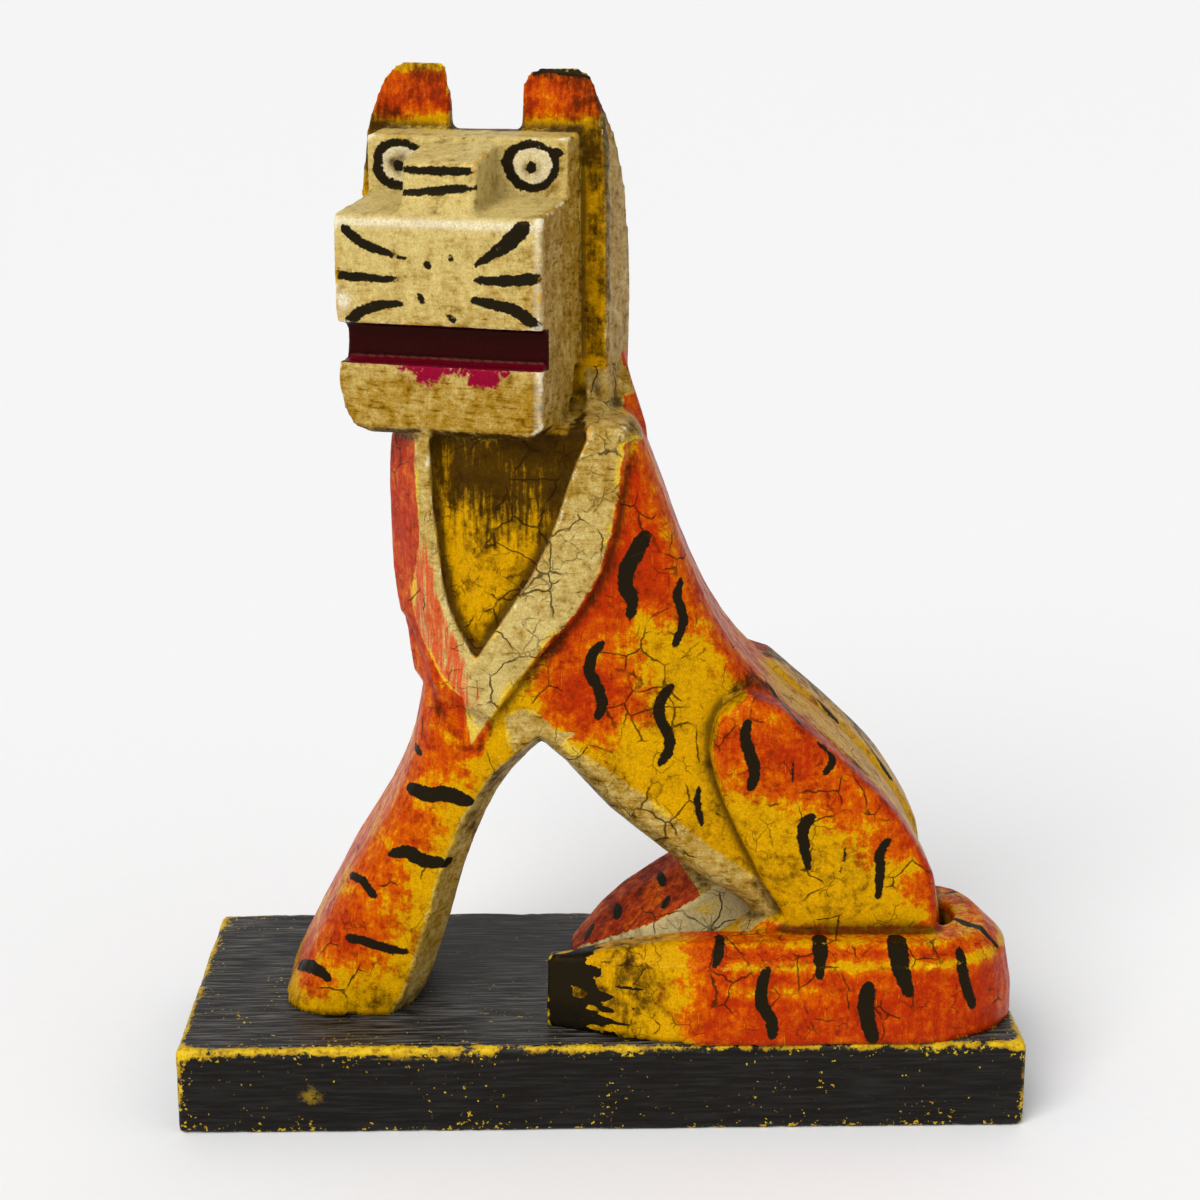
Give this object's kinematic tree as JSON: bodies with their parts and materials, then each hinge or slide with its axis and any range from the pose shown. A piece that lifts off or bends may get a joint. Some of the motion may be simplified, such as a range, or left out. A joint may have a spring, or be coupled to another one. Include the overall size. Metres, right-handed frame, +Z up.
{
  "type": "wooden tiger figurine",
  "caption": "seated tiger carved from a wooden block, with a blocky turned head, a chevron bib and a tail laid along its rectangular black plinth, in crackled worn paint",
  "frame": {"origin": "the centre of the plinth's underside", "axes": "+Z up, X along the plinth's long side with the tiger's chest towards -X, -Y towards the side from which the tail and the face are seen"},
  "size_m": [0.21, 0.091, 0.2578],
  "materials": {
    "painted_tiger": "hand-painted orange, yellow and cream with black strokes, crackled and worn, satin varnish",
    "black_plinth": "black paint rubbed through to yellow along its edges, satin varnish"
  },
  "bodies": {
    "root": {"tiger": "painted_tiger", "plinth": "black_plinth"}
  },
  "joints": []
}
